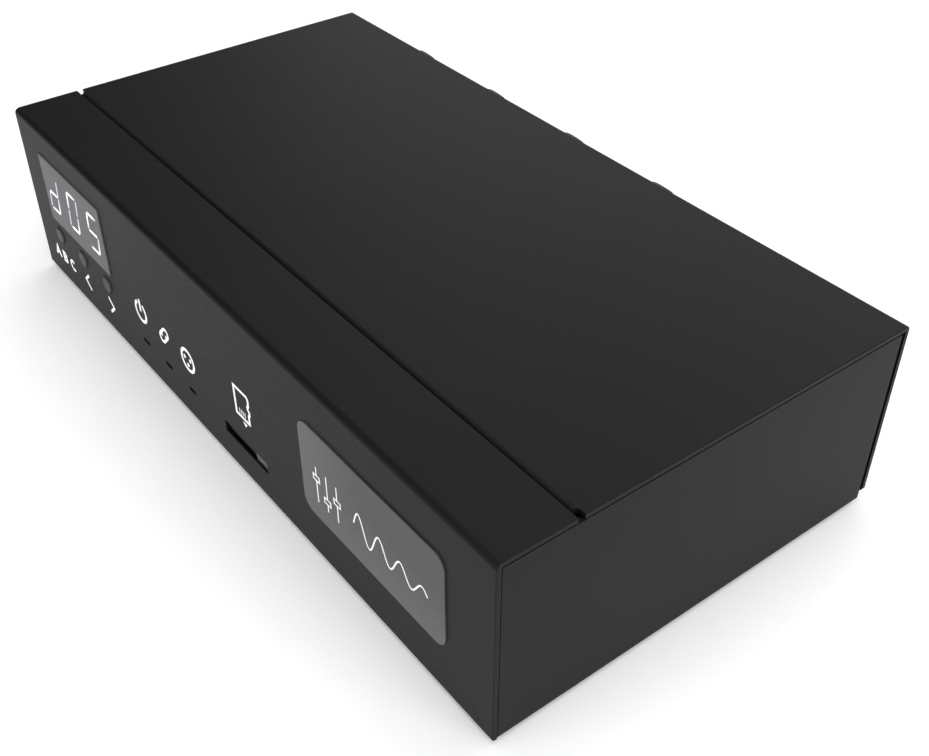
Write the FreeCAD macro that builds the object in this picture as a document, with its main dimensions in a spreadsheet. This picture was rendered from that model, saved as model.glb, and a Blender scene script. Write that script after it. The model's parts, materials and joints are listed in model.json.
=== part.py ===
import FreeCAD, Part
import math
import os
import re

import Sketcher

# Desktop lighting controller: a folded sheet-metal case with a three-digit display, three buttons,
# three indicators, a memory card slot and a lit badge in front, and four three-pole sockets, a
# network jack and a USB socket behind.
#
# Frame: +X to the right seen from the front, +Y from front to back, +Z up. The origin is the middle
# of the base of the whole object's box. Pieces are drawn in case coordinates, which start at the
# middle of the front panel's lower edge, and are then placed by front_y and foot_height.

NEAR = 0.01

SIZES = {
    # Folded case.
    "case_width": 180.0,
    "case_depth": 94.65,
    "case_height": 42.2,
    "foot_height": 1.0,
    "foot_radius": 5.0,
    "foot_inset": 11.0,
    "tray_gauge": 1.0,
    "cover_gauge": 1.0,
    "bend_radius": 1.3,
    "base_bend": 0.7,
    "inner_bend": 0.3,
    "edge_break": 0.2,
    "strip_depth": 15.5,
    "seam_gap": 0.3,
    "side_front": 1.15,
    "side_rear": 92.75,
    "side_drop": 1.3,
    "lip_height": 9.0,
    "cover_bend": 1.0,
    "notch_width": 2.0,
    "notch_depth": 1.2,
    "notch_radius": 0.8,
    "back_lift": 1.4,
    "back_corner": 1.2,
    "tab_inner": 77.0,
    "tab_outer": 87.5,
    "tab_height": 11.5,
    "cover_screw_x": 81.0,
    "cover_screw_z": 7.1,
    # Front panel.
    "display_x": -63.07,
    "display_z": 26.75,
    "display_width": 32.4,
    "display_height": 17.45,
    "display_gap": 0.15,
    "display_proud": 0.3,
    "rim_radius": 0.12,
    "display_depth": 8.55,
    "digit_z": 26.85,
    "digit_height": 10.2,
    "digit_width": 5.5,
    "digit_pitch": 10.9,
    "digit_slant": 10.0,
    "segment_stroke": 0.68,
    "segment_depth": 1.0,
    "segment_gap": 0.14,
    "button_x": -64.0,
    "button_z": 13.9,
    "button_pitch": 13.2,
    "button_hole": 2.2,
    "cap_radius": 1.98,
    "cap_proud": 0.38,
    "cap_flange": 3.2,
    "switch_width": 6.0,
    "switch_depth": 3.5,
    "plunger_radius": 1.75,
    "plunger_front": 3.9,
    "lamp_x": -22.15,
    "lamp_z": 8.37,
    "lamp_pitch": 10.75,
    "lamp_width": 3.0,
    "lamp_height": 1.0,
    "slot_x": 11.33,
    "slot_z": 8.75,
    "slot_width": 16.7,
    "slot_height": 2.8,
    "slot_lip": 0.35,
    "slot_relief": 0.8,
    "badge_x": 56.15,
    "badge_z": 22.08,
    "badge_width": 43.5,
    "badge_height": 21.75,
    "badge_radius": 3.0,
    "badge_gap": 0.1,
    "badge_proud": 0.3,
    # Boards and what holds them.
    "board_gauge": 1.6,
    "board_low": 5.1,
    "board_edge": 86.0,
    "board_front": 10.3,
    "board_rear": 89.5,
    "front_board_low": 3.5,
    "front_board_top": 38.5,
    "front_board_edge": 87.0,
    "tongue_left": -0.5,
    "tongue_right": 24.0,
    "tongue_front": 1.95,
    "screw_radius": 1.25,
    "screw_head": 2.3,
    "screw_head_height": 1.5,
    "spacer_radius": 2.7,
    "panel_spacer_radius": 2.3,
    # Memory card and its socket.
    "card_x": 8.85,
    "card_width": 11.0,
    "card_length": 15.0,
    "card_gauge": 0.7,
    "card_front": 0.9,
    "card_low": 7.45,
    "reader_left": 2.9,
    "reader_right": 19.6,
    "reader_rear": 17.0,
    "reader_top": 8.75,
    "reader_wall": 0.2,
    "reader_base_height": 0.4,
    "stop_left": 14.6,
    "stop_width": 4.9,
    "stop_front": 0.45,
    "stop_low": 7.35,
    # Three-pole sockets.
    "socket_x": -63.2,
    "socket_z": 23.3,
    "socket_pitch": 28.8,
    "socket_width": 26.0,
    "socket_top": 15.8,
    "socket_depth": 20.0,
    "panel_hole": 11.8,
    "barrel_radius": 11.5,
    "barrel_proud": 0.6,
    "bore_radius": 9.8,
    "bore_depth": 13.0,
    "insert_radius": 7.75,
    "contact_circle": 5.0,
    "contact_radius": 1.5,
    "contact_bore": 1.2,
    "latch_width": 8.8,
    "channel_width": 10.0,
    "channel_floor": 12.2,
    "latch_low": 12.8,
    "latch_gauge": 2.0,
    "tab_proud": 4.85,
    "arch_radius": 5.2,
    "pivot_back": 4.5,
    "pivot_z": 13.8,
    "pivot_radius": 0.6,
    "pivot_play": 0.06,
    "socket_screw_x": 9.5,
    "socket_screw_z": 12.0,
    "panel_screw_head": 2.7,
    "cover_screw_length": 4.0,
    "panel_screw_radius": 1.3,
    "panel_screw_length": 7.0,
    # Network jack and USB socket.
    "jack_x": 52.0,
    "jack_width": 16.0,
    "jack_height": 13.4,
    "jack_front": 73.5,
    "jack_proud": 0.3,
    "jack_wall": 0.3,
    "jack_edge": 0.25,
    "jack_gap": 0.2,
    "jack_mouth_width": 12.0,
    "jack_mouth_height": 7.6,
    "usb_x": 69.0,
    "usb_width": 8.94,
    "usb_height": 3.26,
    "usb_gap": 0.4,
    "usb_wall": 0.3,
    "usb_length": 7.3,
}

FORMULAS = {
    "front_y": "(cap_proud - case_depth - tab_proud) / 2",
    "half_width": "case_width / 2",
    "inner_back": "case_depth - cover_gauge",
    "cover_front": "strip_depth + seam_gap",
    "side_top": "case_height - side_drop",
    "board_top": "board_low + board_gauge",
    "front_board_face": "display_depth - display_proud",
    "front_board_back": "front_board_face + board_gauge",
    "slot_low": "slot_z - slot_height / 2",
    "socket_floor": "board_top - socket_z",
}

WORD = re.compile(r"[a-z]+(?:_[a-z]+)*")

DOC = FreeCAD.newDocument("lighting_controller")
NODES = []


# Sizes and formulas.

def make_sheet():
    """Keep every driving size in one spreadsheet."""
    sheet = DOC.addObject("Spreadsheet::Sheet", "dims")
    for row, (word, size) in enumerate(SIZES.items(), 1):
        sheet.set(f"A{row}", word)
        sheet.set(f"B{row}", str(size))
        sheet.setAlias(f"B{row}", word)
    DOC.recompute()
    return sheet


SHEET = make_sheet()


def formula(text):
    """Spell out a formula of size names as FreeCAD reads it."""
    def spell(match):
        word = match.group(0)
        if word in FORMULAS:
            return "(" + formula(FORMULAS[word]) + ")"
        return "dims." + word if word in SIZES else word
    return WORD.sub(spell, str(text))


def value(text):
    """The number that a formula gives now."""
    return float(SHEET.evalExpression(formula(text)))


def bind(thing, prop, text):
    """Let a property follow a formula."""
    thing.setExpression(prop, formula(text))


def shift(thing, x=0, y=0, z=0):
    """Move a piece within case coordinates."""
    for axis, distance in zip("xyz", (x, y, z)):
        bind(thing, f"Placement.Base.{axis}", distance)


def node(thing, label, x=0, y=0, z=0):
    """Name a finished sub-part and place it, given in case coordinates, in the object's frame."""
    thing.Label = label
    shift(thing, x, f"front_y + ({y})", f"foot_height + ({z})")
    NODES.append(thing)
    return thing


# Primitives and booleans.

def box(name, low, size):
    """A block from its lowest corner and its three sizes."""
    block = DOC.addObject("Part::Box", name)
    for prop, text in zip(("Length", "Width", "Height"), size):
        bind(block, prop, text)
    shift(block, *low)
    return block


def rod(name, axis, start, radius, length):
    """A cylinder that runs from start along +X, +Y or +Z."""
    cylinder = DOC.addObject("Part::Cylinder", name)
    turns = {"X": ((0, 1, 0), 90), "Y": ((1, 0, 0), -90), "Z": ((0, 0, 1), 0)}
    pivot, angle = turns[axis]
    cylinder.Placement = FreeCAD.Placement(FreeCAD.Vector(), FreeCAD.Rotation(FreeCAD.Vector(*pivot), angle))
    bind(cylinder, "Radius", radius)
    bind(cylinder, "Height", length)
    shift(cylinder, *start)
    return cylinder


def cut(name, base, *tools):
    """The base less its tools."""
    result = base
    for number, tool in enumerate(tools, 1):
        step = DOC.addObject("Part::Cut", f"{name}_cut_{number}")
        step.Base, step.Tool = result, tool
        result = step
    return result


def fuse(name, *pieces):
    """One solid from pieces that touch."""
    union = DOC.addObject("Part::MultiFuse", f"{name}_fuse")
    union.Shapes = list(pieces)
    union.Refine = True
    return union


def group(name, pieces):
    """Separate solids that share one sub-part."""
    bundle = DOC.addObject("Part::Compound", f"{name}_group")
    bundle.Links = list(pieces)
    return bundle


def eased(name, base, radius):
    """A block with all its edges rounded a little."""
    DOC.recompute()
    rounding = DOC.addObject("Part::Fillet", f"{name}_eased")
    rounding.Base = base
    size = value(radius)
    rounding.Edges = [(number, size, size) for number in range(1, len(base.Shape.Edges) + 1)]
    return rounding


# Sketches and features.

def new_body(name):
    return DOC.addObject("PartDesign::Body", f"{name}_body")


def hold(sketch, kind, places, text):
    """Fix one measure of a sketch to a formula."""
    number = sketch.addConstraint(Sketcher.Constraint(kind, *places, value(text)))
    sketch.setExpression(f"Constraints[{number}]", formula(text))


def hold_point(sketch, geometry, end, spot):
    hold(sketch, "DistanceX", (-1, 1, geometry, end), spot[0])
    hold(sketch, "DistanceY", (-1, 1, geometry, end), spot[1])


def vector(spot):
    return FreeCAD.Vector(value(spot[0]), value(spot[1]), 0)


def polygon(*spots):
    """A closed outline of straight lines."""
    def draw(sketch):
        first = sketch.GeometryCount
        count = len(spots)
        for number, spot in enumerate(spots):
            following = spots[(number + 1) % count]
            sketch.addGeometry(Part.LineSegment(vector(spot), vector(following)), False)
        for number in range(count):
            following = first + (number + 1) % count
            sketch.addConstraint(Sketcher.Constraint("Coincident", first + number, 2, following, 1))
        for number, spot in enumerate(spots):
            hold_point(sketch, first + number, 1, spot)
    return draw


def rectangle(u, v, width, height):
    """A rectangle about its middle."""
    left, right = f"{u} - ({width}) / 2", f"{u} + ({width}) / 2"
    low, high = f"{v} - ({height}) / 2", f"{v} + ({height}) / 2"
    return polygon((left, low), (right, low), (right, high), (left, high))


def span(left, low, right, high):
    """A rectangle between its two corners."""
    return polygon((left, low), (right, low), (right, high), (left, high))


def circle(u, v, radius):
    def draw(sketch):
        number = sketch.GeometryCount
        middle = vector((u, v))
        sketch.addGeometry(Part.Circle(middle, FreeCAD.Vector(0, 0, 1), value(radius)), False)
        hold_point(sketch, number, 3, (u, v))
        hold(sketch, "Radius", (number,), radius)
    return draw


def rounded(u, v, width, height, radius):
    """A rectangle about its middle with round corners."""
    def draw(sketch):
        first = sketch.GeometryCount
        reach_u = f"(({width}) / 2 - ({radius}))"
        reach_v = f"(({height}) / 2 - ({radius}))"
        signs = ((1, -1), (1, 1), (-1, 1), (-1, -1))
        centres = [(f"{u} + {a} * {reach_u}", f"{v} + {b} * {reach_v}") for a, b in signs]
        size = value(radius)
        up = FreeCAD.Vector(0, 0, 1)
        for number, centre in enumerate(centres):
            start = math.radians(90 * number - 90)
            ring = Part.Circle(vector(centre), up, size)
            sketch.addGeometry(Part.ArcOfCircle(ring, start, start + math.pi / 2), False)
        for number in range(4):
            arc = sketch.Geometry[first + number]
            following = sketch.Geometry[first + (number + 1) % 4]
            sketch.addGeometry(Part.LineSegment(arc.EndPoint, following.StartPoint), False)
        for number, centre in enumerate(centres):
            hold_point(sketch, first + number, 3, centre)
        for number in range(4):
            line = first + 4 + number
            following = first + (number + 1) % 4
            sketch.addConstraint(Sketcher.Constraint("Tangent", first + number, 2, line, 1))
            sketch.addConstraint(Sketcher.Constraint("Tangent", line, 2, following, 1))
        hold(sketch, "Radius", (first,), radius)
    return draw


def new_sketch(body, name, plane, start, shapes):
    """A sketch on one of the body's own planes, moved along its axis to start."""
    sketch = body.newObject("Sketcher::SketchObject", f"{name}_sketch")
    base = next(item for item in body.Origin.OriginFeatures if item.Role == f"{plane}_Plane")
    sketch.AttachmentSupport = [(base, "")]
    sketch.MapMode = "FlatFace"
    sign = "-" if plane == "XZ" else ""
    bind(sketch, "AttachmentOffset.Base.z", f"{sign}({start})")
    for draw in shapes:
        draw(sketch)
    return sketch


def extrude(body, name, plane, start, depth, shapes, removes=False, both_ways=False):
    """Pad or pocket a sketch along +X, +Y or +Z, and make sure that it changed the body."""
    before = body.Shape.Volume if body.Tip else 0.0
    feature_type = "PartDesign::Pocket" if removes else "PartDesign::Pad"
    sketch = new_sketch(body, name, plane, start, shapes)
    feature = body.newObject(feature_type, name)
    feature.Profile = sketch
    bind(feature, "Length", depth)
    faces_minus = plane == "XZ"
    feature.Reversed = faces_minus != removes
    if both_ways:
        feature.SideType = "Symmetric"
    body.Tip = feature
    DOC.recompute()
    if "Invalid" in feature.State or not feature.Shape.isValid():
        raise ValueError(f"{name} failed")
    change = body.Shape.Volume - before
    if (change < NEAR and not removes) or (change > -NEAR * NEAR and removes):
        raise ValueError(f"{name} changed nothing")
    return feature


def mirror(body, name, features):
    """Repeat features on the other side of the middle plane."""
    copy = body.newObject("PartDesign::Mirrored", name)
    copy.Originals = list(features)
    base = next(item for item in body.Origin.OriginFeatures if item.Role == "YZ_Plane")
    copy.MirrorPlane = (base, [""])
    body.Tip = copy
    DOC.recompute()
    return copy


def edges_along(shape, axis, spots):
    """Names of the straight edges along one axis that stand at spots given across it."""
    number_of = "XYZ".index(axis)
    across = [number for number in range(3) if number != number_of]
    targets = [[value(part) for part in spot] for spot in spots]
    names = []
    for number, edge in enumerate(shape.Edges, 1):
        start, end = edge.Vertexes[0].Point, edge.Vertexes[-1].Point
        if abs(abs(start[number_of] - end[number_of]) - edge.Length) > NEAR:
            continue
        for target in targets:
            if all(abs(start[way] - goal) < NEAR for way, goal in zip(across, target)):
                names.append(f"Edge{number}")
    return names


def ease(body, name, axis, spots, radius):
    """Round the body's edges along one axis at the given spots."""
    base = body.Tip
    names = edges_along(base.Shape, axis, spots)
    if not names:
        raise ValueError(f"{name} found no edge")
    rounding = body.newObject("PartDesign::Fillet", name)
    rounding.Base = (base, names)
    bind(rounding, "Radius", radius)
    body.Tip = rounding
    DOC.recompute()
    if "Invalid" in rounding.State or not rounding.Shape.isValid():
        raise ValueError(f"{name} could not be rounded")
    return rounding


def soften_face(body, name, face_y, radius):
    """Round the rim of the body's flat front face."""
    base, level = body.Tip, value(face_y)
    names = [f"Edge{number}" for number, edge in enumerate(base.Shape.Edges, 1)
             if abs(edge.BoundBox.YMax - level) < NEAR and abs(edge.BoundBox.YMin - level) < NEAR]
    rounding = body.newObject("PartDesign::Fillet", name)
    rounding.Base = (base, names)
    bind(rounding, "Radius", radius)
    body.Tip = rounding
    DOC.recompute()
    if "Invalid" in rounding.State or not rounding.Shape.isValid():
        raise ValueError(f"{name} could not be rounded")


# Case.

def make_tray():
    """Bottom, front panel, top strip and both side plates, folded from one sheet."""
    body = new_body("base_tray")
    extrude(body, "tray_section", "YZ", "0", "case_width", [polygon(
        ("0", "0"), ("side_rear", "0"), ("side_rear", "tray_gauge"), ("tray_gauge", "tray_gauge"),
        ("tray_gauge", "case_height - tray_gauge"), ("strip_depth", "case_height - tray_gauge"),
        ("strip_depth", "case_height"), ("0", "case_height"))], both_ways=True)
    ease(body, "top_bend", "X", [("0", "case_height")], "bend_radius")
    ease(body, "front_bend", "X", [("0", "0")], "base_bend")
    ease(body, "inner_bends", "X", [("tray_gauge", "tray_gauge"),
                                    ("tray_gauge", "case_height - tray_gauge")], "inner_bend")
    side = extrude(body, "side_plate", "YZ", "half_width - tray_gauge", "tray_gauge",
                   [span("side_front", "0", "side_rear", "side_top")])
    relief = extrude(body, "corner_relief", "XZ", "tray_gauge", "side_front - tray_gauge",
                     [span("half_width - base_bend - 0.2", "-1", "half_width + 1", "tray_gauge + 1")],
                     removes=True)
    tab = extrude(body, "rear_tab", "XZ", "inner_back - tray_gauge", "tray_gauge",
                  [span("tab_inner", "0", "tab_outer", "tab_height")])
    hole = extrude(body, "tab_hole", "XZ", "inner_back - tray_gauge - 1", "tray_gauge + 2",
                   [circle("cover_screw_x", "cover_screw_z", "screw_radius")], removes=True)
    mirror(body, "both_sides", [side, relief, tab, hole])
    extrude(body, "panel_openings", "XZ", "-1", "tray_gauge + 1.05", panel_openings(), removes=True)
    extrude(body, "slot_relief_pocket", "XZ", "slot_lip", "tray_gauge - slot_lip + 0.05",
            [span("slot_x - slot_width / 2", "slot_low - slot_relief",
                  "slot_x + slot_width / 2", "slot_low + 1")], removes=True)
    ease(body, "panel_ends", "Z", [("half_width", "0"), ("-half_width", "0")], "edge_break")
    ease(body, "side_bends", "Y", [("half_width", "0"), ("-half_width", "0")], "base_bend")
    return node(body, "base_tray")


def panel_openings():
    """Every hole through the front panel."""
    shapes = [rectangle("display_x", "display_z", "display_width", "display_height"),
              rectangle("slot_x", "slot_z", "slot_width", "slot_height"),
              rounded("badge_x", "badge_z", "badge_width", "badge_height", "badge_radius")]
    for step in (-1, 0, 1):
        shapes.append(circle(f"button_x + {step} * button_pitch", "button_z", "button_hole"))
        shapes.append(rectangle(f"lamp_x + {step} * lamp_pitch", "lamp_z", "lamp_width", "lamp_height"))
    return shapes


def make_cover():
    """Top plate and back panel, folded from one sheet, with a turned-down front lip."""
    body = new_body("top_cover")
    extrude(body, "cover_section", "YZ", "0", "case_width", [polygon(
        ("cover_front", "case_height - cover_gauge"), ("inner_back", "case_height - cover_gauge"),
        ("inner_back", "back_lift"), ("case_depth", "back_lift"), ("case_depth", "case_height"),
        ("cover_front", "case_height"))], both_ways=True)
    extrude(body, "front_lip", "YZ", "0", "case_width - 2 * (notch_width + notch_radius)",
            [span("cover_front", "case_height - lip_height", "cover_front + cover_gauge",
                  "case_height - cover_gauge / 2")], both_ways=True)
    notch = extrude(body, "notch", "XY", "case_height - 2", "3",
                    [span("half_width - notch_width", "cover_front - 1", "half_width + 1",
                          "cover_front + notch_depth")], removes=True)
    mirror(body, "both_notches", [notch])
    ease(body, "notch_corners", "Z",
         [("half_width - notch_width", "cover_front + notch_depth"),
          ("notch_width - half_width", "cover_front + notch_depth")], "notch_radius")
    extrude(body, "back_openings", "XZ", "inner_back - 1", "cover_gauge + 2", back_openings(), removes=True)
    both = ("half_width", "-half_width")
    ease(body, "back_bend", "X", [(y, "case_height") for y in ("case_depth", "cover_front")], "cover_bend")
    ease(body, "back_corners", "Y", [(x, "back_lift") for x in both], "back_corner")
    ease(body, "side_edges", "Y", [(x, "case_height") for x in both], "edge_break")
    return node(body, "top_cover")


def socket_shift(number):
    return f"(socket_x + {number} * socket_pitch)"


def keyhole(x):
    """The outline of a round socket with its latch tab above, drawn about one socket's axis."""
    half = "(channel_width / 2 + 0.4)"
    shoulder = f"sqrt(panel_hole ^ 2 - {half} ^ 2)"

    def draw(sketch):
        first = sketch.GeometryCount
        middle = vector((x, "socket_z"))
        radius = value("panel_hole")
        right = math.atan2(value(shoulder), value(half))
        ring = Part.Circle(middle, FreeCAD.Vector(0, 0, 1), radius)
        sketch.addGeometry(Part.ArcOfCircle(ring, math.pi - right, 2 * math.pi + right), False)
        arc = sketch.Geometry[first]
        crest_left = vector((f"{x} - {half}", "socket_z + socket_top + 0.5"))
        crest_right = vector((f"{x} + {half}", "socket_z + socket_top + 0.5"))
        sketch.addGeometry(Part.LineSegment(arc.EndPoint, crest_right), False)
        sketch.addGeometry(Part.LineSegment(crest_right, crest_left), False)
        sketch.addGeometry(Part.LineSegment(crest_left, arc.StartPoint), False)
        sketch.addConstraint(Sketcher.Constraint("Coincident", first, 2, first + 1, 1))
        sketch.addConstraint(Sketcher.Constraint("Coincident", first + 1, 2, first + 2, 1))
        sketch.addConstraint(Sketcher.Constraint("Coincident", first + 2, 2, first + 3, 1))
        sketch.addConstraint(Sketcher.Constraint("Coincident", first + 3, 2, first, 1))
        sketch.addConstraint(Sketcher.Constraint("Vertical", first + 1))
        sketch.addConstraint(Sketcher.Constraint("Vertical", first + 3))
        hold_point(sketch, first, 3, (x, "socket_z"))
        hold(sketch, "Radius", (first,), "panel_hole")
        hold_point(sketch, first + 2, 1, (f"{x} + {half}", "socket_z + socket_top + 0.5"))
        hold_point(sketch, first + 2, 2, (f"{x} - {half}", "socket_z + socket_top + 0.5"))
    return draw


def back_openings():
    """Every hole through the back panel."""
    shapes = []
    for number in range(4):
        x = socket_shift(number)
        shapes.append(keyhole(x))
        for sign in (-1, 1):
            shapes.append(circle(f"{x} + {sign} * socket_screw_x", f"socket_z - {sign} * socket_screw_z",
                                 "panel_screw_radius + 0.2"))
    for sign in (-1, 1):
        shapes.append(circle(f"{sign} * cover_screw_x", "cover_screw_z", "screw_radius + 0.2"))
    shapes.append(rectangle("jack_x", "board_top + jack_height / 2", "jack_width + 2 * jack_gap",
                            "jack_height + 2 * jack_gap"))
    shapes.append(rounded("usb_x", "board_top + usb_height / 2", "usb_width + 2 * usb_gap",
                          "usb_height + 2 * usb_gap", "usb_height / 2"))
    return shapes


def make_feet():
    """Four low rubber pads under the corners of the tray."""
    places = {"front_left": (-1, "foot_inset"), "front_right": (1, "foot_inset"),
              "rear_left": (-1, "side_rear - foot_inset"), "rear_right": (1, "side_rear - foot_inset")}
    for name, (side, y) in places.items():
        pad = DOC.addObject("Part::Cone", f"foot_{name}_pad")
        bind(pad, "Radius1", "foot_radius - 0.4")
        bind(pad, "Radius2", "foot_radius")
        bind(pad, "Height", "foot_height")
        node(pad, f"foot_{name}", f"{side} * (half_width - foot_inset)", y, "-foot_height")


# Screws and spacers.

def pan_screw(name, axis, seat, into, head, head_height, radius, length):
    """A pan-head screw: seat is under the head, and into is +1 or -1 along the axis."""
    x, y, z = seat
    back = {"Y": (x, f"{y} - ({head_height})", z), "Z": (x, y, f"{z} - ({head_height})")}[axis]
    down = {"Y": (x, f"{y} - ({length})", z), "Z": (x, y, f"{z} - ({length})")}[axis]
    if into > 0:
        cap = rod(f"{name}_head", axis, back, head, head_height)
        shank = rod(f"{name}_shank", axis, seat, radius, length)
    else:
        cap = rod(f"{name}_head", axis, seat, head, head_height)
        shank = rod(f"{name}_shank", axis, down, radius, length)
    return fuse(name, cap, shank)


PANEL_SPACERS = (("-84.6", "26"), ("-40", "31"), ("24", "31"), ("83", "14"))
BOARD_SPACERS = (("-80", "18"), ("80", "18"), ("0", "50"), ("-80", "82"), ("81", "82"))


def make_spacers():
    """Pressed-in spacers: round ones behind the front panel, taller than the ones under the main board."""
    panel = []
    for number, (x, z) in enumerate(PANEL_SPACERS, 1):
        name = f"panel_spacer_{number}"
        body = rod(f"{name}_rod", "Y", (x, "tray_gauge", z), "panel_spacer_radius",
                   "front_board_face - tray_gauge")
        bore = rod(f"{name}_bore", "Y", (x, "front_board_face - 5", z), "screw_radius", "6")
        panel.append(cut(name, body, bore))
    node(group("panel_spacers", panel), "panel_spacers")
    board = []
    for number, (x, y) in enumerate(BOARD_SPACERS, 1):
        name = f"board_spacer_{number}"
        body = DOC.addObject("Part::Prism", f"{name}_hexagon")
        body.Polygon = 6
        bind(body, "Circumradius", "spacer_radius * 1.15")
        bind(body, "Height", "board_low - tray_gauge")
        shift(body, x, y, "tray_gauge")
        bore = rod(f"{name}_bore", "Z", (x, y, "tray_gauge - 1"), "screw_radius", "board_low + 1")
        board.append(cut(name, body, bore))
    node(group("board_spacers", board), "board_spacers")


def make_board_screws():
    """Identical screws through both boards into their spacers."""
    screws = []
    length = "board_gauge + 2.6"
    for number, (x, z) in enumerate(PANEL_SPACERS, 1):
        screws.append(pan_screw(f"front_screw_{number}", "Y", (x, "front_board_back", z), -1, "screw_head",
                                "screw_head_height", "screw_radius", length))
    for number, (x, y) in enumerate(BOARD_SPACERS, 1):
        screws.append(pan_screw(f"main_screw_{number}", "Z", (x, y, "board_top"), -1, "screw_head",
                                "screw_head_height", "screw_radius", length))
    node(group("board_screws", screws), "board_screws")


def make_panel_screws():
    """Screws through the back panel: two into the tray's tabs and two into each socket."""
    cover = []
    for number, sign in enumerate((-1, 1), 1):
        place = (f"{sign} * cover_screw_x", "case_depth", "cover_screw_z")
        cover.append(pan_screw(f"cover_screw_{number}", "Y", place, -1, "panel_screw_head",
                               "screw_head_height", "screw_radius", "cover_screw_length"))
    node(group("cover_screws", cover), "cover_screws")
    screws = []
    for number in range(4):
        for sign in (-1, 1):
            name = f"socket_screw_{number + 1}_{'low' if sign > 0 else 'high'}"
            seat = (f"{socket_shift(number)} + {sign} * socket_screw_x", "case_depth",
                    f"socket_z - {sign} * socket_screw_z")
            screws.append(pan_screw(name, "Y", seat, -1, "panel_screw_head", "screw_head_height",
                                    "panel_screw_radius", "panel_screw_length"))
    node(group("socket_screws", screws), "socket_screws")


# Boards and parts on them.

def make_boards():
    """The upright front board, notched over the card reader, and the main board with its tongue."""
    front = new_body("front_board")
    extrude(front, "front_board_plate", "XZ", "front_board_face", "board_gauge", [polygon(
        ("-front_board_edge", "front_board_low"), ("-3", "front_board_low"), ("-3", "14"), ("27", "14"),
        ("27", "front_board_low"), ("front_board_edge", "front_board_low"),
        ("front_board_edge", "front_board_top"), ("-front_board_edge", "front_board_top"))])
    extrude(front, "front_board_holes", "XZ", "front_board_face - 1", "board_gauge + 2",
            [circle(x, z, "screw_radius + 0.15") for x, z in PANEL_SPACERS], removes=True)
    node(front, "front_board")
    main = new_body("main_board")
    extrude(main, "main_board_plate", "XY", "board_low", "board_gauge", [polygon(
        ("-board_edge", "board_front"), ("tongue_left", "board_front"), ("tongue_left", "tongue_front"),
        ("tongue_right", "tongue_front"), ("tongue_right", "board_front"), ("board_edge", "board_front"),
        ("board_edge", "board_rear"), ("-board_edge", "board_rear"))])
    extrude(main, "main_board_holes", "XY", "board_low - 1", "board_gauge + 2",
            [circle(x, y, "screw_radius + 0.15") for x, y in BOARD_SPACERS], removes=True)
    node(main, "main_board")
    link = box("board_link_block", ("-48", "front_board_back", "board_top"), ("26", "5.2", "5"))
    node(eased("board_link", link, "0.2"), "board_link")


def on_board(name, middle, size, easing="0.3"):
    """A moulded block that stands on the main board."""
    x, y = middle
    width, depth, height = size
    block = box(f"{name}_block", (f"{x} - ({width}) / 2", f"{y} - ({depth}) / 2", "board_top"), size)
    return eased(name, block, easing)


def make_electronics():
    """What the main board carries between the front board and the sockets."""
    node(on_board("processor", ("-14", "34"), ("14", "14", "1.5"), "0.2"), "processor")
    drivers = [on_board(f"driver_{number + 1}", (socket_shift(number), "64"), ("10.3", "7.5", "2.4"), "0.2")
               for number in range(4)]
    node(group("driver_chips", drivers), "driver_chips")
    modules = [on_board(f"module_{number}", (x, "48"), ("19.5", "9.8", "12"), "0.5")
               for number, x in enumerate(("-62", "-32"), 1)]
    node(group("power_modules", modules), "power_modules")
    cans = [rod(f"can_{number}", "Z", (x, "52", "board_top"), "4", "10.5")
            for number, x in enumerate(("46", "56", "66"), 1)]
    node(group("capacitors", cans), "capacitors")
    holder = box("cell_holder_block", ("36", "21", "board_top"), ("23", "22", "5"))
    well = rod("cell_holder_well", "Z", ("47.5", "32", "board_top + 0.8"), "10.15", "6")
    node(cut("cell_holder", holder, well), "cell_holder")
    cell = rod("coin_cell_can", "Z", ("0", "0", "0"), "10", "3.2")
    node(cell, "coin_cell", "47.5", "32", "board_top + 0.8")


# Display.

def digit_outlines():
    """The seven segments of one digit as outlines about its middle, before the slant."""
    half_width, half_height = value("digit_width / 2"), value("digit_height / 2")
    stroke, gap = value("segment_stroke"), value("segment_gap")
    edge = 0.4 * stroke
    inner = half_width - stroke
    top = [(-half_width + edge + gap, half_height), (half_width - edge - gap, half_height),
           (inner - gap, half_height - stroke), (-inner + gap, half_height - stroke)]
    upper = [(half_width, half_height - edge - gap), (half_width, stroke / 3 + gap),
             (half_width - stroke / 2, gap), (inner, stroke / 2 + gap), (inner, half_height - stroke - gap)]
    middle = [(-half_width + stroke / 2 + gap, 0), (-inner + gap, stroke / 2), (inner - gap, stroke / 2),
              (half_width - stroke / 2 - gap, 0), (inner - gap, -stroke / 2), (-inner + gap, -stroke / 2)]
    return {
        "a": top,
        "b": upper,
        "c": [(x, -z) for x, z in upper],
        "d": [(x, -z) for x, z in top],
        "e": [(-x, -z) for x, z in upper],
        "f": [(-x, z) for x, z in upper],
        "g": middle,
    }


def segment_solid(outline, x_shift):
    """One segment, slanted and sunk into the display's face."""
    slant = math.tan(math.radians(value("digit_slant")))
    y, z_shift = value("-display_proud"), value("digit_z")
    corners = [FreeCAD.Vector(x + z * slant + x_shift, y, z + z_shift) for x, z in outline]
    face = Part.Face(Part.makePolygon(corners + corners[:1]))
    return face.extrude(FreeCAD.Vector(0, value("segment_depth"), 0))


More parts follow.
